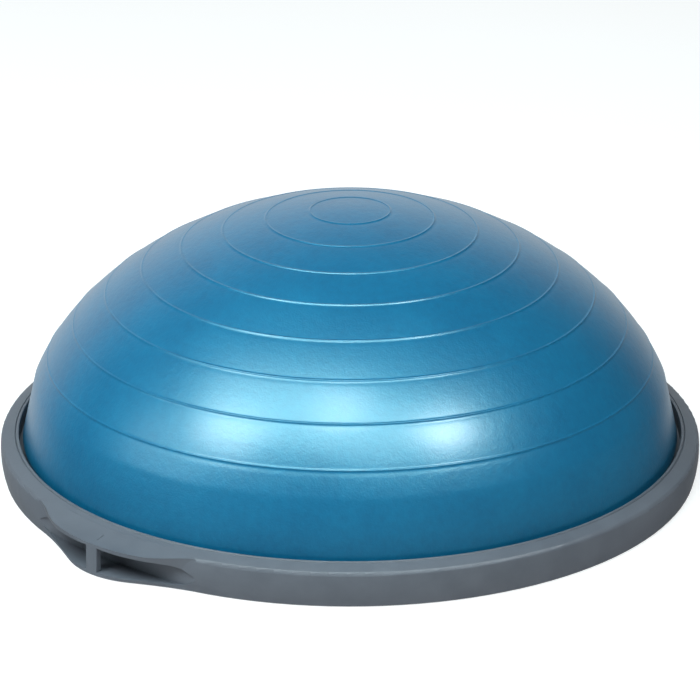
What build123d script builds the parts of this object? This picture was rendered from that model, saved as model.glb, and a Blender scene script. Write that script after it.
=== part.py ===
from build123d import *
import os
from math import asin, cos, degrees, hypot, pi, radians, sin, sqrt

# Balance dome trainer: an air-filled half ball whose skin is clamped between a round
# platform and a rim with two hand holds. Millimetres, +Z up. The origin is on the floor
# under the middle of the dome, and the hand holds lie on the X axis.

# ---- dome skin ----
DOME_RADIUS = 290.5        # widest circle of the inflated skin
DOME_RISE = 204.4          # apex above the widest circle
DOME_POWER = 1.847         # superellipse power of the inflated profile
SKIN_WALL = 3.0
RIB_COUNT = 8              # raised rings on the skin
RIB_FIRST = 35.0           # first ring from the apex, measured along the skin
RIB_PITCH = 39.2           # along the skin
RIB_HALF_WIDTH = 1.8
RIB_HEIGHT = 1.1
NECK_HEIGHT = 13.4         # widest circle above the clamped flange
NECK_INSET = 6.1           # how far the skin turns in below its widest circle
FLANGE_WALL = 2.5
FLANGE_WIDTH = 9.6         # flange beyond the neck

# ---- levels ----
FOOT_PROUD = 2.0           # pads below the platform's underside
RIM_LIFT = 1.0             # rim's lower edge above the floor
PLATE_SKIN = 3.5
DECK_DEPTH = 10.0          # height of the platform's ribs
LIP_OVER = 4.0             # rim's lip above the widest circle

# ---- rim ----
DOME_GAP = 3.7             # open gap between skin and lip
RIM_WIDTH = 16.6           # lip's inner edge to the widest circle of the rim
LIP_WALL = 3.0
LIP_BAND = 2.4             # raised band along the lip
GROOVE_WIDTH = 1.2
GROOVE_DEPTH = 1.0
TOP_CROWN = 0.5            # rise of the top face between groove and corner
RIM_WALL = 4.0
RIM_TOP_WALL = 3.2
WALL_DRAFT = 3.0           # outer wall leans in by this much at its foot
CORNER_INSET = 1.0
CORNER_DROP = 4.7          # outer corner below the lip
CORNER_RADIUS = 4.0
LIP_ROUND = 0.7
CLAMP_FOOT = 3.0
CLAMP_CLEAR = 3.6          # clamp foot clear of the neck

# ---- hand holds ----
HOLD_REACH = 16.2          # tip of the hold beyond the rim's widest circle
HOLD_HALF_ANGLE = 17.0     # degrees of rim each side of the tip
HOLD_LEAN = 1.5            # tip leans in by this much at its top
FOOT_NOSE = (34.0, 8.2)    # lower lip's nose: half its width, and how far it falls back there
VISOR_NOSE = (50.0, 7.3)   # the same of the wider visor
VISOR_DROP = 2.4           # visor's tip below the rim's corner
VISOR_RISE_INSET = 7.0     # visor leaves the rim's top this far inside the corner
VISOR_RISE = 3.1           # height of the visor above the corner where it leaves the rim
VISOR_SAG = 1.1            # hollow of the visor's top
VISOR_FALL = 1.2           # pocket's roof lower at half its length
SEAM_LENGTH = 8.0          # short moulding line on top of the hold
SEAM_WIDTH = 0.6
SEAM_DEPTH = 0.5
LOWER_LIP = 3.0
POCKET_WALL = 5.0
POCKET_HALF_LENGTH = 90.0
POCKET_END_Z = 13.0        # height of the pocket's narrow end
POCKET_END_ROUND = 3.5
POCKET_BACK_BOW = 4.5      # pocket's back wall bows in towards its ends by this much
VISOR_WALL = 2.5
POST_HALF_WIDTH = 6.0
POST_DEPTH = 6.0

# ---- platform ----
PLATE_CLEAR = 0.5          # platform inside the rim's wall
PLATE_WALL = 3.0
RING_RIB_PITCH = 55.0
RADIAL_RIBS = 24
SEAT_WIDTH = 6.6           # solid ring under the clamp foot
WELL_RADIUS = 20.0         # finger well around the valve plug
EDGE_CHAMFER = 1.0

# ---- screws ----
SCREWS_PER_SIDE = 8
SCREW_START = 19.0         # degrees from the hold's middle to the first screw
SCREW_DIAMETER = 3.5
SCREW_LENGTH = 20.0
SCREW_HEAD_DIAMETER = 6.6
SCREW_HEAD_HEIGHT = 2.4
SCREW_SINK = 3.0           # counterbore depth
SCREW_HOLE_CLEAR = 0.25
BOSS_WALL = 1.75
POST_GAP = 0.5             # rim's screw posts stop short of the platform

# ---- grip pads ----
PAD_COUNT = 12
PAD_RADIUS = 13.0
PAD_CIRCLE_INSET = 38.0    # pad centres inside the platform's edge
PAD_SINK = 1.5
PAD_ROUND = 0.8

# ---- valve ----
MEMBRANE_WALL = 2.0
SEAT_FLANGE_RADIUS = 20.0
SEAT_FLANGE_WALL = 2.0
SEAT_NECK_RADIUS = 9.0
SEAT_NECK_DROP = 7.5       # neck below the membrane
PLUG_RADIUS = 4.5
PLUG_CLEAR = 0.05
PLUG_STEM = 13.0
PLUG_HEAD_RADIUS = 8.0
PLUG_HEAD_WALL = 2.6
PLUG_TAB = (10.0, 2.4, 2.0)
PLUG_TIP = 0.8             # chamfer at the stem's end

TINY = 0.01

# ---- values that follow ----
PLATE_Z = FOOT_PROUD
DECK_Z = PLATE_Z + PLATE_SKIN + DECK_DEPTH
CLAMP_Z = DECK_Z + FLANGE_WALL
DOME_Z = CLAMP_Z + NECK_HEIGHT
LIP_Z = DOME_Z + LIP_OVER
CORNER_Z = LIP_Z - CORNER_DROP
LIP_RADIUS = DOME_RADIUS + DOME_GAP
RIM_RADIUS = LIP_RADIUS + RIM_WIDTH
NECK_RADIUS = DOME_RADIUS - NECK_INSET
FLANGE_RADIUS = NECK_RADIUS + FLANGE_WIDTH
FLANGE_INNER = NECK_RADIUS - SKIN_WALL
RIM_FOOT_RADIUS = RIM_RADIUS - WALL_DRAFT
CORNER_RADIUS_AT = RIM_RADIUS - CORNER_INSET
PLATE_RADIUS = RIM_FOOT_RADIUS - RIM_WALL - PLATE_CLEAR
SCREW_BOSS_RADIUS = SCREW_DIAMETER / 2 + BOSS_WALL
SCREW_CIRCLE = FLANGE_RADIUS + PLATE_CLEAR + SCREW_BOSS_RADIUS
HOLD_TIP = RIM_RADIUS + HOLD_REACH
VISOR_TIP_Z = CORNER_Z - VISOR_DROP
HOLD_BACK = FLANGE_RADIUS + 4 * PLATE_CLEAR
FLAT_X = HOLD_BACK - PLATE_CLEAR
POCKET_BACK = HOLD_BACK + POCKET_WALL
POCKET_FLOOR = RIM_LIFT + LOWER_LIP


def skin_point(t, offset=0.0):
    """Point (r, z) of the inflated profile at parameter t, 0 at the apex and pi/2 at the
    widest circle, moved outwards by offset."""
    power = 2 / DOME_POWER
    r = DOME_RADIUS * sin(t) ** power
    z = DOME_Z + DOME_RISE * cos(t) ** power
    if t < 1e-6:
        return (0.0, z + offset)
    if t > pi / 2 - 1e-6:
        return (r + offset, DOME_Z)
    normal_r = (r / DOME_RADIUS) ** (DOME_POWER - 1) / DOME_RADIUS
    normal_z = ((z - DOME_Z) / DOME_RISE) ** (DOME_POWER - 1) / DOME_RISE
    size = hypot(normal_r, normal_z)
    return (r + offset * normal_r / size, z + offset * normal_z / size)


def skin_parameter(distance):
    """Parameter t at a distance along the skin from the apex."""
    steps = 4000
    travelled = 0.0
    last = skin_point(0.0)
    for i in range(1, steps + 1):
        t = i * pi / 2 / steps
        here = skin_point(t)
        travelled += hypot(here[0] - last[0], here[1] - last[1])
        if travelled >= distance:
            return t
        last = here
    return pi / 2


def skin_span(t_from, t_to, offset=0.0, points=7):
    """Smooth curve along the profile between two parameters."""
    steps = [t_from + (t_to - t_from) * i / (points - 1) for i in range(points)]
    return Spline([skin_point(t, offset) for t in steps])


def arc_down(radius, top_z, bottom_z, inset):
    """Quarter-like arc from a vertical start at (radius, top_z), turned in by inset at bottom_z."""
    drop = top_z - bottom_z
    bend = (drop**2 + inset**2) / (2 * inset)
    half = asin(drop / bend) / 2
    middle = (radius - bend * (1 - cos(half)), top_z - bend * sin(half))
    return ThreePointArc((radius, top_z), middle, (radius - inset, bottom_z))


def section_face(edges):
    """Flat face in the XY plane from the edges of a closed outline."""
    return make_face(Curve() + edges)


def turned(face):
    """Solid of revolution about Z from a face drawn as (r, z)."""
    return revolve(Rot(90, 0, 0) * face, Axis.Z)


def ring(inner, outer, bottom, top):
    """Plain ring, or a disc when inner is 0."""
    shape = Cylinder(outer, top - bottom, align=(Align.CENTER, Align.CENTER, Align.MIN))
    if inner > 0:
        shape -= Cylinder(inner, top - bottom, align=(Align.CENTER, Align.CENTER, Align.MIN))
    return Pos(0, 0, bottom) * shape


def polar(radius, angle):
    return (radius * cos(radians(angle)), radius * sin(radians(angle)))


def dome_skin():
    """Moulded skin with its raised rings, its turned-in neck and its clamped flange."""
    edges = []
    start = 0.0
    for i in range(RIB_COUNT):
        middle = RIB_FIRST + i * RIB_PITCH
        near = skin_parameter(middle - RIB_HALF_WIDTH)
        crest = skin_parameter(middle)
        far = skin_parameter(middle + RIB_HALF_WIDTH)
        edges.append(skin_span(start, near))
        edges.append(ThreePointArc(skin_point(near), skin_point(crest, RIB_HEIGHT), skin_point(far)))
        start = far
    edges.append(skin_span(start, pi / 2))
    edges.append(arc_down(DOME_RADIUS, DOME_Z, CLAMP_Z, NECK_INSET))
    edges.append(Line((NECK_RADIUS, CLAMP_Z), (FLANGE_RADIUS, CLAMP_Z)))
    edges.append(Line((FLANGE_RADIUS, CLAMP_Z), (FLANGE_RADIUS, DECK_Z)))
    edges.append(Line((FLANGE_RADIUS, DECK_Z), (FLANGE_INNER, DECK_Z)))
    inner = DOME_RADIUS - SKIN_WALL
    edges.append(Line((FLANGE_INNER, DECK_Z), (FLANGE_INNER, CLAMP_Z)))
    edges.append(arc_down(inner, DOME_Z, CLAMP_Z, NECK_INSET))
    edges.append(skin_span(0.0, pi / 2, -SKIN_WALL, 25))
    edges.append(Line(skin_point(0.0), skin_point(0.0, -SKIN_WALL)))
    return turned(section_face(edges))


def floor_membrane():
    """Flat skin that closes the air chamber, with the hole for the valve."""
    return ring(SEAT_NECK_RADIUS, FLANGE_INNER, DECK_Z, DECK_Z + MEMBRANE_WALL)


def valve_seat():
    """Soft bung welded to the membrane, bored for the plug."""
    top = DECK_Z + MEMBRANE_WALL + SEAT_FLANGE_WALL
    bottom = DECK_Z - SEAT_NECK_DROP
    flange = ring(PLUG_RADIUS, SEAT_FLANGE_RADIUS, DECK_Z + MEMBRANE_WALL, top)
    flange = chamfer(flange.edges().filter_by(GeomType.CIRCLE).group_by(Axis.Z)[-1][-1], PLUG_TIP)
    neck = ring(PLUG_RADIUS, SEAT_NECK_RADIUS, bottom, top)
    return flange + neck


def valve_plug():
    """Push-in stopper: stem with a sealing ring, head and pull tab."""
    top = DECK_Z - SEAT_NECK_DROP
    stem = Pos(0, 0, top) * Cylinder(
        PLUG_RADIUS - PLUG_CLEAR, PLUG_STEM, align=(Align.CENTER, Align.CENTER, Align.MIN)
    )
    stem = chamfer(stem.edges().group_by(Axis.Z)[-1], PLUG_TIP)
    head = ring(0, PLUG_HEAD_RADIUS, top - PLUG_HEAD_WALL, top)
    head = fillet(head.edges().group_by(Axis.Z)[0], PLUG_TIP)
    tab = Pos(0, 0, top - PLUG_HEAD_WALL) * Box(*PLUG_TAB, align=(Align.CENTER, Align.CENTER, Align.MAX))
    tab = fillet(tab.edges().filter_by(Axis.Z), PLUG_TIP)
    return stem + head + tab


def rim_section():
    """Closed section of the rim in (r, z): outer wall, top, lip, inner wall and clamp foot."""
    groove = LIP_RADIUS + LIP_BAND
    slope_z = LIP_Z - GROOVE_DEPTH / 2
    clamp_inner = NECK_RADIUS + CLAMP_CLEAR
    outer_wall = ThreePointArc(
        (RIM_FOOT_RADIUS, RIM_LIFT),
        (RIM_RADIUS - CORNER_INSET / 2, (RIM_LIFT + CORNER_Z) / 2),
        (CORNER_RADIUS_AT, CORNER_Z),
    )
    top = ThreePointArc(
        (CORNER_RADIUS_AT, CORNER_Z),
        ((CORNER_RADIUS_AT + groove) / 2, (CORNER_Z + slope_z) / 2 + TOP_CROWN),
        (groove + GROOVE_WIDTH, slope_z),
    )
    rest = Polyline(
        (groove + GROOVE_WIDTH, slope_z),
        (groove + GROOVE_WIDTH / 2, slope_z - GROOVE_DEPTH),
        (groove, slope_z),
        (groove - LIP_ROUND, LIP_Z),
        (LIP_RADIUS, LIP_Z),
        (LIP_RADIUS, CLAMP_Z + CLAMP_FOOT),
        (clamp_inner, CLAMP_Z + CLAMP_FOOT),
        (clamp_inner, CLAMP_Z),
        (LIP_RADIUS + LIP_WALL, CLAMP_Z),
        (LIP_RADIUS + LIP_WALL, CORNER_Z),
        (CORNER_RADIUS_AT - RIM_WALL, CORNER_Z - RIM_TOP_WALL),
        (RIM_FOOT_RADIUS - RIM_WALL, RIM_LIFT),
        (RIM_FOOT_RADIUS, RIM_LIFT),
    )
    face = section_face([outer_wall, top, rest])
    corner = [v for v in face.vertices() if hypot(v.X - CORNER_RADIUS_AT, v.Y - CORNER_Z) < TINY]
    face = fillet(corner, CORNER_RADIUS)
    lip = [v for v in face.vertices() if hypot(v.X - LIP_RADIUS, v.Y - LIP_Z) < TINY]
    return fillet(lip, LIP_ROUND)


def hold_plan(base_radius, tip, nose):
    """Plan of one hand hold on +X: a rounded nose with flanks that run into the rim."""
    half_width, drop = nose
    end_x, end_y = polar(base_radius, HOLD_HALF_ANGLE)
    nose_x = tip - drop
    nose_bend = (half_width**2 + drop**2) / (2 * drop)
    leave = degrees(asin(half_width / nose_bend))
    edges = [ThreePointArc((nose_x, -half_width), (tip, 0), (nose_x, half_width))]
    for side in (1, -1):
        tangents = [(-sin(radians(a)), side * cos(radians(a))) for a in (leave, HOLD_HALF_ANGLE)]
        ends = [(nose_x, side * half_width), (end_x, side * end_y)]
        edges.append(Spline(ends, tangents=tangents))
    edges.append(Line((end_x, end_y), (end_x, -end_y)))
    return section_face(edges)


def visor_points():
    """Start, middle and end (r, z) of the hold's gently hollow top face."""
    rise = (CORNER_RADIUS_AT - VISOR_RISE_INSET, CORNER_Z + VISOR_RISE)
    fall = (HOLD_TIP, VISOR_TIP_Z)
    middle = ((rise[0] + fall[0]) / 2, (rise[1] + fall[1]) / 2 - VISOR_SAG)
    return rise, middle, fall


def hold_envelope():
    """Round block whose top is the top face of the hand holds."""
    inner = LIP_RADIUS
    rise, middle, fall = visor_points()
    beyond = (HOLD_TIP + RIM_WALL, VISOR_TIP_Z)
    edges = [
        ThreePointArc(rise, middle, fall),
        Polyline(fall, beyond, (beyond[0], 0), (inner, 0), (inner, rise[1] - VISOR_SAG), rise),
    ]
    return turned(section_face(edges))


def hold_body():
    """Solid of one hand hold on +X, before its pockets. Its walls lean as the rim's do."""
    lower = Pos(0, 0, RIM_LIFT) * hold_plan(RIM_FOOT_RADIUS, HOLD_TIP, FOOT_NOSE)
    upper = Pos(0, 0, CORNER_Z) * hold_plan(CORNER_RADIUS_AT, HOLD_TIP - HOLD_LEAN, VISOR_NOSE)
    body = loft([lower, upper], ruled=True) + extrude(upper, LIP_Z - CORNER_Z)
    keep = Box(HOLD_TIP, HOLD_TIP, 4 * LIP_Z, align=(Align.MIN, Align.CENTER, Align.CENTER))
    body &= Pos(HOLD_BACK, 0, 0) * keep
    return body & hold_envelope()


def hold_seam():
    """Short moulding line in the middle of the hold's top face, in line with the post."""
    rise, middle, fall = visor_points()
    tilt = degrees(asin((rise[1] - fall[1]) / hypot(fall[0] - rise[0], rise[1] - fall[1])))
    return Pos(middle[0], 0, middle[1]) * Rot(0, tilt, 0) * Box(SEAM_LENGTH, SEAM_WIDTH, 2 * SEAM_DEPTH)


def pocket_view(side):
    """Side view (y, z) of one finger pocket, from the post to its narrow end."""
    near = POST_HALF_WIDTH
    far = POCKET_HALF_LENGTH
    top_z = VISOR_TIP_Z - VISOR_WALL
    flat = (near + far) / 2
    high = (far - POCKET_END_ROUND, POCKET_END_Z + POCKET_END_ROUND)
    low = (far - POCKET_END_ROUND, POCKET_END_Z - POCKET_END_ROUND)
    middle = (flat, top_z - VISOR_FALL)
    edges = [
        Spline([(near, top_z), middle, high], tangents=[(1, -0.05), (1, -0.7)]),
        ThreePointArc(high, (far, POCKET_END_Z), low),
        Spline([low, (flat, POCKET_FLOOR)], tangents=[(-1, -0.8), (-1, 0)]),
        Polyline((flat, POCKET_FLOOR), (near, POCKET_FLOOR), (near, top_z)),
    ]
    face = section_face(edges)
    return face if side > 0 else mirror(face, Plane.YZ)


def pocket_space(side):
    """Space of one finger pocket on +X, from its back wall outwards."""
    view = Plane.YZ * pocket_view(side)
    back_bend = (POCKET_HALF_LENGTH**2 + POCKET_BACK_BOW**2) / (2 * POCKET_BACK_BOW)
    space = extrude(Pos(HOLD_BACK, 0, 0) * view, HOLD_TIP - HOLD_BACK + RIM_WALL)
    return space - Pos(POCKET_BACK - back_bend, 0, 0) * ring(0, back_bend, 0, LIP_Z)


def strap_space():
    """Way behind the post that joins the two pockets, for looping a strap on."""
    length = HOLD_TIP - POST_DEPTH - POCKET_BACK
    height = VISOR_TIP_Z - VISOR_WALL - POCKET_FLOOR
    align = (Align.MIN, Align.CENTER, Align.MIN)
    return Pos(POCKET_BACK, 0, POCKET_FLOOR) * Box(length, 2 * POST_HALF_WIDTH + 2, height, align=align)


def screw_angles():
    """Angles of the screws: evenly spread over each side, clear of the hand holds."""
    step = (180 - 2 * SCREW_START) / (SCREWS_PER_SIDE - 1)
    one_side = [SCREW_START + i * step for i in range(SCREWS_PER_SIDE)]
    return one_side + [180 + a for a in one_side]


def screw_post(angle):
    """Post inside the rim that a screw bites into, tied to both of the rim's walls."""
    post = ring(0, SCREW_BOSS_RADIUS, DECK_Z + POST_GAP, CORNER_Z)
    tie = Pos(0, 0, CLAMP_Z) * Box(
        CORNER_RADIUS_AT - SCREW_CIRCLE - CORNER_INSET,
        PLATE_WALL,
        CORNER_Z - RIM_TOP_WALL - CLAMP_Z,
        align=(Align.MIN, Align.CENTER, Align.MIN),
    )
    return Rot(0, 0, angle) * Pos(SCREW_CIRCLE, 0, 0) * (post + tie)


def rim_ring():
    """Upper shell: rim with its lip, its clamp foot, its screw posts and two hand holds."""
    rim = turned(rim_section())
    rim += [screw_post(a) for a in screw_angles()]
    one = hold_body()
    cutters = [pocket_space(1), pocket_space(-1), strap_space(), hold_seam()]
    for turn in (0, 180):
        rim += Rot(0, 0, turn) * one
        rim -= [Rot(0, 0, turn) * cutter for cutter in cutters]
    bore = ring(0, SCREW_DIAMETER / 2, 0, PLATE_Z + SCREW_SINK + SCREW_LENGTH + POST_GAP)
    rim -= [Rot(0, 0, a) * Pos(SCREW_CIRCLE, 0, 0) * bore for a in screw_angles()]
    return rim


def at_screws(shape):
    return [Rot(0, 0, a) * Pos(SCREW_CIRCLE, 0, 0) * shape for a in screw_angles()]


def pad_places():
    circle = PLATE_RADIUS - PAD_CIRCLE_INSET
    step = 360 / PAD_COUNT
    return [Rot(0, 0, step * (i + 0.5)) * Pos(circle, 0, 0) for i in range(PAD_COUNT)]


def base_plate():
    """Platform: smooth underside, ribbed inside, with the finger well and screw bosses."""
    plate = ring(0, PLATE_RADIUS, PLATE_Z, PLATE_Z + PLATE_SKIN)
    plate = chamfer(plate.edges().group_by(Axis.Z)[0], EDGE_CHAMFER)
    rib_top = DECK_Z
    rib_bottom = PLATE_Z + PLATE_SKIN
    seat = NECK_RADIUS + CLAMP_CLEAR
    walls = [(PLATE_RADIUS - PLATE_WALL, PLATE_RADIUS), (seat, seat + SEAT_WIDTH),
             (WELL_RADIUS, WELL_RADIUS + PLATE_WALL)]
    radius = WELL_RADIUS + RING_RIB_PITCH
    while radius < seat - RING_RIB_PITCH / 2:
        walls.append((radius, radius + PLATE_WALL))
        radius += RING_RIB_PITCH
    plate += [ring(inner, outer, rib_bottom, rib_top) for inner, outer in walls]
    spoke = Pos(WELL_RADIUS + PLATE_WALL / 2, 0, rib_bottom) * Box(
        PLATE_RADIUS - WELL_RADIUS - PLATE_WALL, PLATE_WALL / 2, DECK_DEPTH,
        align=(Align.MIN, Align.CENTER, Align.MIN),
    )
    plate += [Rot(0, 0, 360 / RADIAL_RIBS * i) * spoke for i in range(RADIAL_RIBS)]
    boss = ring(0, SCREW_BOSS_RADIUS + 2 * SCREW_HOLE_CLEAR, rib_bottom, rib_top)
    plate += at_screws(boss)
    pad_seat = ring(0, PAD_RADIUS + PLATE_WALL, rib_bottom, rib_bottom + PAD_SINK)
    plate += [place * pad_seat for place in pad_places()]
    flat_chord = 2 * sqrt(PLATE_RADIUS**2 - FLAT_X**2) - 2 * PLATE_WALL
    for side in (1, -1):
        plate += Pos(side * (FLAT_X - PLATE_WALL / 2), 0, rib_bottom) * Box(
            PLATE_WALL, flat_chord, DECK_DEPTH, align=(Align.CENTER, Align.CENTER, Align.MIN)
        )
    plate &= Box(2 * FLAT_X, 4 * FLAT_X, 4 * LIP_Z)
    plate -= ring(0, WELL_RADIUS, 0, LIP_Z)
    plate -= at_screws(ring(0, SCREW_DIAMETER / 2 + SCREW_HOLE_CLEAR, 0, LIP_Z))
    plate -= at_screws(ring(0, SCREW_HEAD_DIAMETER / 2 + SCREW_HOLE_CLEAR, 0, PLATE_Z + SCREW_SINK))
    plate -= [place * ring(0, PAD_RADIUS, 0, PLATE_Z + PAD_SINK) for place in pad_places()]
    return plate


def rim_screw():
    """Self-tapping pan-head screw with a cross recess, pointing up."""
    seat = PLATE_Z + SCREW_SINK
    head = ring(0, SCREW_HEAD_DIAMETER / 2, seat - SCREW_HEAD_HEIGHT, seat)
    head = fillet(head.edges().group_by(Axis.Z)[0], SCREW_HEAD_HEIGHT / 2)
    shank = ring(0, SCREW_DIAMETER / 2, seat, seat + SCREW_LENGTH)
    shank = chamfer(shank.edges().group_by(Axis.Z)[-1], SCREW_DIAMETER / 4)
    slot_length = 0.6 * SCREW_HEAD_DIAMETER
    slot_width = 0.15 * SCREW_HEAD_DIAMETER
    screw = head + shank
    for turn in (0, 90):
        slot = Rot(0, 0, turn) * Box(slot_length, slot_width, SCREW_HEAD_HEIGHT)
        screw -= Pos(0, 0, seat - SCREW_HEAD_HEIGHT) * slot
    return screw


def grip_pad(place):
    """Soft pad let into the underside."""
    pad = ring(0, PAD_RADIUS, 0, PLATE_Z + PAD_SINK)
    return place * fillet(pad.edges().group_by(Axis.Z)[0], PAD_ROUND)


def save(shape, name):
    export_step(shape, f"parts/{name}.step")


os.makedirs("parts", exist_ok=True)
save(dome_skin(), "dome_skin")
save(floor_membrane(), "floor_membrane")
save(valve_seat(), "valve_seat")
save(valve_plug(), "valve_plug")
save(rim_ring(), "rim_ring")
save(base_plate(), "base_plate")
save(Compound(at_screws(rim_screw())), "rim_screws")
for number, place in enumerate(pad_places(), start=1):
    save(grip_pad(place), f"grip_pad_{number}")
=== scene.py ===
from math import asin, cos, exp, hypot, pi, radians, sin, tan

import bmesh
import bpy
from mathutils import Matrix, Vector, noise


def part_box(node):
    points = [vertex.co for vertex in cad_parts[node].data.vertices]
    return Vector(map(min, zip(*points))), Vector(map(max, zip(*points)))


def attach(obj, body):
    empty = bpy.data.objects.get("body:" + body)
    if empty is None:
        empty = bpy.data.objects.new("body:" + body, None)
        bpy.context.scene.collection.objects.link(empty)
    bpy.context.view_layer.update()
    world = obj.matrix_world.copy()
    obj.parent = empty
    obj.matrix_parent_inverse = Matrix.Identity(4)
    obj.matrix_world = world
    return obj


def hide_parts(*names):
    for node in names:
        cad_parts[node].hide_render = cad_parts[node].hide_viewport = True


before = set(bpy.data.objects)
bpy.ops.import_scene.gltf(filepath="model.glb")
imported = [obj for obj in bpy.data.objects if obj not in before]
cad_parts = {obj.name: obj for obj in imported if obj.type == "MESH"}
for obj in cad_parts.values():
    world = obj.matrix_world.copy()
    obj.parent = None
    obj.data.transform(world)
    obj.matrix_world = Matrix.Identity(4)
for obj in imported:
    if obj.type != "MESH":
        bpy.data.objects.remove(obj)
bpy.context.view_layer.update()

# Looks of the balance dome trainer. Metres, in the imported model's own frame:
# +Z up, origin on the floor under the dome, hand holds on the X axis.

MM = 0.001

# ---- the dome's profile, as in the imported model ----
SKIN_LOW, SKIN_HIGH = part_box("dome_skin")
RIM_TOP_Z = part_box("rim_ring")[1].z
DOME_RADIUS = 290.5 * MM
DOME_POWER = 1.847
LIP_OVER = 4 * MM
DOME_Z = RIM_TOP_Z - LIP_OVER
DOME_RISE = SKIN_HIGH.z - DOME_Z
FLANGE_WALL = 2.5 * MM
CLAMP_Z = SKIN_LOW.z + FLANGE_WALL
NECK_INSET = 6.1 * MM
SKIN_WALL = 3 * MM
FLANGE_RADIUS = SKIN_HIGH.x     # the clamped flange is the widest part of the skin
RIB_COUNT = 8
RIB_FIRST = 35 * MM
RIB_PITCH = 39.2 * MM
RIB_HEIGHT = 0.54 * MM
RIB_WIDTH = 1.3 * MM            # sets how fast a ring fades into the skin

# ---- the dome's mesh ----
LATHE_STEPS = 360
NECK_STEPS = 8
INNER_STEPS = 24
APEX_ROWS = (0.0, 4.0, 9.0, 15.0, 21.0)                      # mm along the skin from the apex
RIB_ROWS = (-6.0, -3.6, -2.6, -2.0, -1.5, -1.1, -0.75, -0.4, 0.0,
            0.4, 0.75, 1.1, 1.5, 2.0, 2.6, 3.4, 4.6, 6.5)    # mm from a ring's crest
BETWEEN_ROWS = (0.27, 0.4, 0.53, 0.66)                       # parts of the way to the next ring
END_MARGIN = 2 * MM
WOBBLE = 0.5 * MM               # how far the blown-up skin strays from its ideal shape

# ---- camera ----
CAMERA_AZIMUTH = -49.0         # degrees, 0 looks along +Y
CAMERA_DISTANCE = 2.804        # from the dome's axis, along the floor
CAMERA_HEIGHT = 1.2137
CAMERA_PITCH = 21.61           # degrees below level
CAMERA_LENS = 175.4

# ---- studio ----
BACKDROP_AZIMUTH = -172.0      # middle of the white backdrop, from the camera
BACKDROP_LIGHT = 0.72
SURROUND_LIGHT = 0.05
BACKDROP_EDGE = 0.55           # cosine of the angle from its middle where the backdrop starts
BACKDROP_CORE = 0.98           # and where it reaches its full light
COOL_WHITE = (0.74, 0.97, 1.0)
FLOOR_HALF = 6.0
AIM = Vector((0, 0, 0.1))      # the point that every softbox faces


# ---------------------------------------------------------------- nodes
class Nodes:
    """Small helper that builds one material's node tree."""

    def __init__(self, name):
        self.material = bpy.data.materials.new(name)
        self.material.use_nodes = True
        self.tree = self.material.node_tree
        self.shader = self.tree.nodes["Principled BSDF"]
        self.place = self.add("ShaderNodeTexCoord").outputs["Object"]

    def add(self, kind, **values):
        node = self.tree.nodes.new(kind)
        for key, value in values.items():
            setattr(node, key, value)
        return node

    def link(self, source, target):
        self.tree.links.new(source, target)

    def set(self, **values):
        """Constant values on the shader's own sockets."""
        for key, value in values.items():
            self.shader.inputs[key.replace("_", " ")].default_value = value

    def noise(self, scale, detail=3.0, roughness=0.5, source=None, distortion=0.0):
        node = self.add("ShaderNodeTexNoise")
        self.link(source or self.place, node.inputs["Vector"])
        node.inputs["Scale"].default_value = scale
        node.inputs["Detail"].default_value = detail
        node.inputs["Roughness"].default_value = roughness
        node.inputs["Distortion"].default_value = distortion
        return node.outputs["Fac"]

    def cells(self, scale, feature="F1"):
        node = self.add("ShaderNodeTexVoronoi", feature=feature)
        self.link(self.place, node.inputs["Vector"])
        node.inputs["Scale"].default_value = scale
        return node.outputs["Distance"]

    def remap(self, value, low, high, to_low, to_high):
        node = self.add("ShaderNodeMapRange")
        self.link(value, node.inputs["Value"])
        numbers = {"From Min": low, "From Max": high, "To Min": to_low, "To Max": to_high}
        for key, number in numbers.items():
            node.inputs[key].default_value = number
        return node.outputs["Result"]

    def mix(self, factor, a, b):
        node = self.add("ShaderNodeMix", data_type="RGBA")
        if isinstance(factor, float):
            node.inputs["Factor"].default_value = factor
        else:
            self.link(factor, node.inputs["Factor"])
        for key, value in (("A", a), ("B", b)):
            sockets = [s for s in node.inputs if s.name == key and s.type == "RGBA"]
            if isinstance(value, tuple):
                sockets[0].default_value = (*value, 1.0)
            else:
                self.link(value, sockets[0])
        return [s for s in node.outputs if s.type == "RGBA"][0]

    def math(self, operation, a, b=0.0):
        node = self.add("ShaderNodeMath", operation=operation)
        for i, value in enumerate((a, b)):
            if isinstance(value, (int, float)):
                node.inputs[i].default_value = value
            else:
                self.link(value, node.inputs[i])
        return node.outputs["Value"]

    def bump(self, height, distance, strength=1.0, under=None):
        node = self.add("ShaderNodeBump")
        self.link(height, node.inputs["Height"])
        node.inputs["Distance"].default_value = distance
        node.inputs["Strength"].default_value = strength
        if under is not None:
            self.link(under, node.inputs["Normal"])
        return node.outputs["Normal"]

    def finish(self, color=None, roughness=None, normal=None):
        if color is not None:
            self.link(color, self.shader.inputs["Base Color"])
        if roughness is not None:
            self.link(roughness, self.shader.inputs["Roughness"])
        if normal is not None:
            self.link(normal, self.shader.inputs["Normal"])
        return self.material


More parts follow.
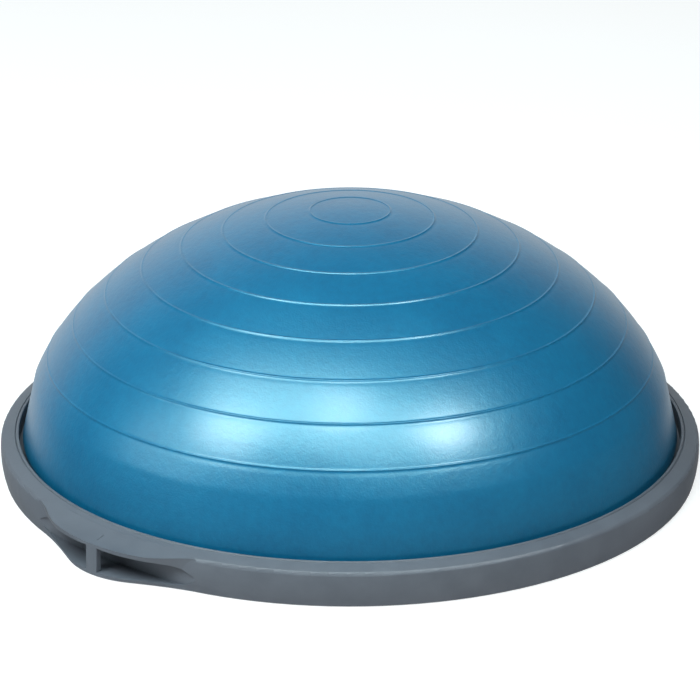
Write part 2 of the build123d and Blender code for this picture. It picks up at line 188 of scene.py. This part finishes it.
def dome_material():
    """Pearly blue moulded PVC: a satin metallic body under a soft clear gloss, finely grained."""
    n = Nodes("dome_pvc")
    grain = n.noise(560.0, 2.0, 0.6)
    peel = n.noise(150.0, 4.0, 0.62)
    cloud = n.noise(11.0, 4.0, 0.6)
    tone = n.math("ADD", n.math("MULTIPLY", peel, 0.5), n.math("MULTIPLY", cloud, 0.5))
    deep_blue, light_blue = (0.0006, 0.089, 0.200), (0.0012, 0.137, 0.278)
    color = n.mix(n.remap(tone, 0.3, 0.7, 0.0, 1.0), deep_blue, light_blue)
    wear = n.math("ADD", n.math("MULTIPLY", cloud, 0.5), n.math("MULTIPLY", grain, 0.5))
    rough = n.remap(wear, 0.3, 0.7, 0.36, 0.43)
    normal = n.bump(grain, 0.20 * MM, 0.8, n.bump(peel, 0.40 * MM, 0.7))
    n.set(IOR=1.6, Coat_Weight=0.8, Coat_Roughness=0.27, Specular_IOR_Level=1.0,
          Specular_Tint=(0.30, 0.77, 0.82, 1.0))
    return n.finish(color, rough, normal)


def rim_material(name, dark, light):
    """Moulded grey polypropylene with a fine spark-eroded grain, slightly mottled."""
    n = Nodes(name)
    grain = n.noise(1500.0, 2.0, 0.6)
    mottle = n.noise(55.0, 4.0, 0.6)
    cloud = n.noise(6.0, 2.0, 0.5)
    tone = n.math("ADD", n.math("MULTIPLY", mottle, 0.6), n.math("MULTIPLY", cloud, 0.4))
    color = n.mix(n.remap(tone, 0.3, 0.7, 0.0, 1.0), dark, light)
    rough = n.remap(mottle, 0.3, 0.7, 0.42, 0.55)
    normal = n.bump(grain, 0.10 * MM, 0.6, n.bump(mottle, 0.25 * MM, 0.35))
    n.set(Specular_IOR_Level=0.5)
    return n.finish(color, rough, normal)


def pad_material():
    """Matte black rubber with a fine pebbled face."""
    n = Nodes("pad_rubber")
    pebble = n.cells(900.0)
    cloud = n.noise(40.0, 3.0, 0.5)
    color = n.mix(cloud, (0.012, 0.012, 0.013), (0.035, 0.035, 0.037))
    rough = n.remap(cloud, 0.3, 0.7, 0.65, 0.85)
    return n.finish(color, rough, n.bump(pebble, 0.3 * MM, 0.7))


def soft_material(name, dark, light, rough_low, rough_high):
    """Soft moulded PVC sheet or bung with a faint orange-peel face."""
    n = Nodes(name)
    peel = n.noise(260.0, 3.0, 0.5)
    cloud = n.noise(12.0, 3.0, 0.5)
    color = n.mix(cloud, dark, light)
    rough = n.remap(peel, 0.3, 0.7, rough_low, rough_high)
    return n.finish(color, rough, n.bump(peel, 0.15 * MM, 0.5))


def steel_material():
    """Zinc-plated steel, lightly brushed."""
    n = Nodes("screw_steel")
    fine = n.noise(900.0, 2.0, 0.6)
    cloud = n.noise(90.0, 3.0, 0.5)
    color = n.mix(cloud, (0.42, 0.43, 0.44), (0.60, 0.61, 0.60))
    n.set(Metallic=1.0)
    return n.finish(color, n.remap(fine, 0.3, 0.7, 0.28, 0.42), n.bump(fine, 0.03 * MM, 0.5))


def floor_material():
    """Pale matte floor, clear from below so that the underside can be looked at."""
    n = Nodes("studio_floor")
    cloud = n.noise(2.0, 2.0, 0.5)
    color = n.mix(cloud, (0.42, 0.42, 0.42), (0.45, 0.45, 0.45))
    n.set(Roughness=0.9, Specular_IOR_Level=0.1,
          Emission_Strength=0.70, Emission_Color=(1.0, 1.0, 1.0, 1.0))
    clear = n.add("ShaderNodeBsdfTransparent")
    face = n.add("ShaderNodeNewGeometry")
    choose = n.add("ShaderNodeMixShader")
    n.link(face.outputs["Backfacing"], choose.inputs["Fac"])
    n.link(n.shader.outputs["BSDF"], choose.inputs[1])
    n.link(clear.outputs["BSDF"], choose.inputs[2])
    n.link(choose.outputs["Shader"], n.tree.nodes["Material Output"].inputs["Surface"])
    return n.finish(color)


# ---------------------------------------------------------------- shapes
def new_piece(name, verts, faces, material, smooth=True):
    mesh = bpy.data.meshes.new(name)
    mesh.from_pydata(verts, [], faces)
    mesh.validate()
    if smooth:
        mesh.shade_smooth()
    mesh.materials.append(material)
    piece = bpy.data.objects.new(name, mesh)
    bpy.context.scene.collection.objects.link(piece)
    return piece


def lathe(profile, steps):
    """Closed mesh of revolution from (r, z) points. A point with r 0 becomes a pole."""
    verts = []
    rows = []
    for r, z in profile:
        if r < 1e-9:
            rows.append([len(verts)])
            verts.append((0.0, 0.0, z))
            continue
        rows.append(list(range(len(verts), len(verts) + steps)))
        for i in range(steps):
            a = 2 * pi * i / steps
            verts.append((r * cos(a), r * sin(a), z))
    faces = []
    for upper, lower in zip(rows, rows[1:]):
        for i in range(steps):
            j = (i + 1) % steps
            if len(upper) == 1:
                faces.append((upper[0], lower[i], lower[j]))
            elif len(lower) == 1:
                faces.append((upper[i], lower[0], upper[j]))
            else:
                faces.append((upper[i], lower[i], lower[j], upper[j]))
    return verts, faces


def skin_point(t, offset=0.0):
    """Point (r, z) of the inflated profile, t 0 at the apex and pi/2 at the widest circle."""
    power = 2 / DOME_POWER
    r = DOME_RADIUS * sin(t) ** power
    z = DOME_Z + DOME_RISE * cos(t) ** power
    if t < 1e-6:
        return (0.0, z + offset)
    if t > pi / 2 - 1e-6:
        return (r + offset, DOME_Z)
    normal_r = (r / DOME_RADIUS) ** (DOME_POWER - 1) / DOME_RADIUS
    normal_z = ((z - DOME_Z) / DOME_RISE) ** (DOME_POWER - 1) / DOME_RISE
    size = hypot(normal_r, normal_z)
    return (r + offset * normal_r / size, z + offset * normal_z / size)


def skin_table(steps=6000):
    """Lists of distance along the skin and of the parameter there."""
    distances = [0.0]
    parameters = [0.0]
    last = skin_point(0.0)
    for i in range(1, steps + 1):
        t = i * pi / 2 / steps
        here = skin_point(t)
        distances.append(distances[-1] + hypot(here[0] - last[0], here[1] - last[1]))
        parameters.append(t)
        last = here
    return distances, parameters


def look_up(distances, parameters, distance):
    low, high = 0, len(distances) - 1
    while high - low > 1:
        middle = (low + high) // 2
        if distances[middle] <= distance:
            low = middle
        else:
            high = middle
    part = (distance - distances[low]) / (distances[high] - distances[low])
    return parameters[low] + part * (parameters[high] - parameters[low])


def rib_lift(distance):
    """Height of the moulded rings above the skin: a crisp crest with a shallow valley below it."""
    lift = 0.0
    for i in range(RIB_COUNT):
        away = distance - (RIB_FIRST + i * RIB_PITCH)
        if abs(away) < 6 * RIB_WIDTH:
            lift += RIB_HEIGHT * exp(-((away / (0.62 * RIB_WIDTH)) ** 2))
            lift -= 0.25 * RIB_HEIGHT * exp(-(((away - 2.0 * RIB_WIDTH) / (1.1 * RIB_WIDTH)) ** 2))
    return lift


def skin_stations(length):
    """Distances along the skin for the mesh rows: fine on the rings, coarser between them."""
    stations = [row * MM for row in APEX_ROWS]
    for i in range(RIB_COUNT):
        crest = RIB_FIRST + i * RIB_PITCH
        stations += [crest + row * MM for row in RIB_ROWS]
        stations += [crest + RIB_PITCH * part for part in BETWEEN_ROWS]
    stations = sorted(s for s in stations if s < length - END_MARGIN)
    return stations + [length]


def skin_profile():
    """Outer face from the apex to the neck, then the clamped flange and the inner face."""
    distances, parameters = skin_table()
    length = distances[-1]
    outer = []
    for s in skin_stations(length):
        outer.append(skin_point(look_up(distances, parameters, s), rib_lift(s)))
    drop = DOME_Z - CLAMP_Z
    bend = (drop**2 + NECK_INSET**2) / (2 * NECK_INSET)
    full = asin(drop / bend)
    neck = []
    for i in range(1, NECK_STEPS + 1):
        a = full * i / NECK_STEPS
        neck.append((DOME_RADIUS - bend * (1 - cos(a)), DOME_Z - bend * sin(a)))
    neck_radius = neck[-1][0]
    low = SKIN_LOW.z
    foot = [(FLANGE_RADIUS, CLAMP_Z), (FLANGE_RADIUS, low), (neck_radius - SKIN_WALL, low)]
    inner_neck = [(r - SKIN_WALL, z) for r, z in reversed(neck[:-1])]
    inner = [skin_point(pi / 2 * i / INNER_STEPS, -SKIN_WALL) for i in range(INNER_STEPS, -1, -1)]
    return outer + neck + foot + inner_neck + inner


def make_dome(material):
    """The inflated skin, turned about Z, with a faint wobble that only the blown-up part has."""
    verts, faces = lathe(skin_profile(), LATHE_STEPS)
    piece = new_piece("inflated_dome", verts, faces, material)
    bm = bmesh.new()
    bm.from_mesh(piece.data)
    for v in bm.verts:
        if v.co.z > CLAMP_Z + END_MARGIN:
            wobble = noise.noise(v.co * 9.0) * 0.5 + noise.noise(v.co * 21.0) * 0.25
            v.co += Vector((v.co.x, v.co.y, 0)).normalized() * wobble * WOBBLE
    bmesh.ops.recalc_face_normals(bm, faces=bm.faces)
    bm.to_mesh(piece.data)
    bm.free()
    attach(piece, "trainer")
    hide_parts("dome_skin")
    return piece


def dress(node, material, bevel=0.0):
    """Gives a CAD node its material and, if asked, softly rounded edges."""
    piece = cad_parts[node]
    for slot in piece.material_slots:
        slot.material = material
    if bevel > 0:
        rounding = piece.modifiers.new("edges", "BEVEL")
        rounding.width = bevel
        rounding.segments = 3
        rounding.limit_method = "ANGLE"
        rounding.angle_limit = radians(35)
        rounding.harden_normals = True
    return piece


# ---------------------------------------------------------------- studio
def direction(azimuth, elevation):
    """Unit vector towards an azimuth and elevation; azimuth 0 is -Y, and 90 is +X."""
    a, e = radians(azimuth), radians(elevation)
    return Vector((sin(a) * cos(e), -cos(a) * cos(e), sin(e)))


def make_camera():
    data = bpy.data.cameras.new("camera")
    data.lens = CAMERA_LENS
    data.clip_start = 0.1
    data.clip_end = 50
    camera = bpy.data.objects.new("camera", data)
    back = direction(CAMERA_AZIMUTH, 0)
    camera.location = back * CAMERA_DISTANCE + Vector((0, 0, CAMERA_HEIGHT))
    target = Vector((0, 0, CAMERA_HEIGHT - CAMERA_DISTANCE * tan(radians(CAMERA_PITCH))))
    camera.rotation_euler = (target - camera.location).to_track_quat("-Z", "Y").to_euler()
    bpy.context.scene.collection.objects.link(camera)
    bpy.context.scene.camera = camera


def softbox(name, azimuth, elevation, distance, width, height, watts, color=(1, 1, 1), diffuse=True):
    """Rectangular light aimed at the dome; its azimuth is counted from the camera's.

    Without diffuse it only shows as a reflection, and doesn't brighten the surface.
    """
    data = bpy.data.lights.new(name, "AREA")
    data.shape = "RECTANGLE"
    data.size = width
    data.size_y = height
    data.energy = watts
    data.color = color
    light = bpy.data.objects.new(name, data)
    light.visible_diffuse = diffuse
    light.location = AIM + direction(CAMERA_AZIMUTH + azimuth, elevation) * distance
    light.rotation_euler = (AIM - light.location).to_track_quat("-Z", "Y").to_euler()
    bpy.context.scene.collection.objects.link(light)


def make_world():
    """White for the camera. Otherwise a dim surround with a white backdrop behind the object."""
    world = bpy.data.worlds.new("studio")
    world.use_nodes = True
    tree = world.node_tree
    place = tree.nodes.new("ShaderNodeTexCoord")
    towards = tree.nodes.new("ShaderNodeVectorMath")
    towards.operation = "DOT_PRODUCT"
    towards.inputs[1].default_value = direction(CAMERA_AZIMUTH + BACKDROP_AZIMUTH, 0)
    tree.links.new(place.outputs["Generated"], towards.inputs[0])
    band = tree.nodes.new("ShaderNodeMapRange")
    band.interpolation_type = "SMOOTHSTEP"
    band.inputs["From Min"].default_value = BACKDROP_EDGE
    band.inputs["From Max"].default_value = BACKDROP_CORE
    band.inputs["To Min"].default_value = SURROUND_LIGHT
    band.inputs["To Max"].default_value = BACKDROP_LIGHT
    tree.links.new(towards.outputs["Value"], band.inputs["Value"])
    surround = tree.nodes["Background"]
    surround.inputs["Color"].default_value = (0.93, 0.97, 1.0, 1.0)
    tree.links.new(band.outputs["Result"], surround.inputs["Strength"])
    white = tree.nodes.new("ShaderNodeBackground")
    white.inputs["Color"].default_value = (1.0, 1.0, 1.0, 1.0)
    seen = tree.nodes.new("ShaderNodeLightPath")
    choose = tree.nodes.new("ShaderNodeMixShader")
    tree.links.new(seen.outputs["Is Camera Ray"], choose.inputs["Fac"])
    tree.links.new(surround.outputs["Background"], choose.inputs[1])
    tree.links.new(white.outputs["Background"], choose.inputs[2])
    tree.links.new(choose.outputs["Shader"], tree.nodes["World Output"].inputs["Surface"])
    bpy.context.scene.world = world


def make_studio():
    bpy.context.scene.view_settings.view_transform = "Standard"
    make_world()
    softbox("left_softbox", -54, 44, 2.56, 0.78, 0.78, 20)
    softbox("middle_softbox", -6, 64, 2.54, 0.50, 0.70, 11)
    softbox("right_softbox", 44.5, 48, 2.57, 0.56, 0.56, 12)
    softbox("right_glint", 44.5, 48, 2.55, 0.54, 0.54, 17, diffuse=False)
    softbox("front_softbox", -24, 60, 2.6, 3.2, 1.4, 78, COOL_WHITE)
    softbox("left_fill", -70, 24, 2.6, 1.4, 1.0, 9, COOL_WHITE)
    corners = [(-1, -1), (1, -1), (1, 1), (-1, 1)]
    verts = [(x * FLOOR_HALF, y * FLOOR_HALF, 0) for x, y in corners]
    floor = new_piece("studio_floor", verts, [(0, 1, 2, 3)], floor_material(), smooth=False)
    floor.visible_glossy = False


# ---------------------------------------------------------------- the object
def make_object():
    make_dome(dome_material())
    rim = rim_material("rim_plastic", (0.089, 0.098, 0.119), (0.116, 0.126, 0.150))
    base = rim_material("base_plastic", (0.081, 0.090, 0.107), (0.107, 0.117, 0.137))
    dress("rim_ring", rim, 0.7 * MM)
    dress("base_plate", base, 0.3 * MM)
    sheet = soft_material("membrane_pvc", (0.010, 0.09, 0.20), (0.016, 0.12, 0.25), 0.45, 0.6)
    bung = soft_material("valve_rubber", (0.02, 0.02, 0.022), (0.04, 0.04, 0.042), 0.5, 0.7)
    white = soft_material("plug_plastic", (0.70, 0.71, 0.70), (0.78, 0.79, 0.78), 0.35, 0.5)
    dress("floor_membrane", sheet)
    dress("valve_seat", bung, 0.2 * MM)
    dress("valve_plug", white, 0.2 * MM)
    dress("rim_screws", steel_material(), 0.1 * MM)
    rubber = pad_material()
    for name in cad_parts:
        if name.startswith("grip_pad_"):
            dress(name, rubber, 0.2 * MM)


make_camera()
make_studio()
make_object()
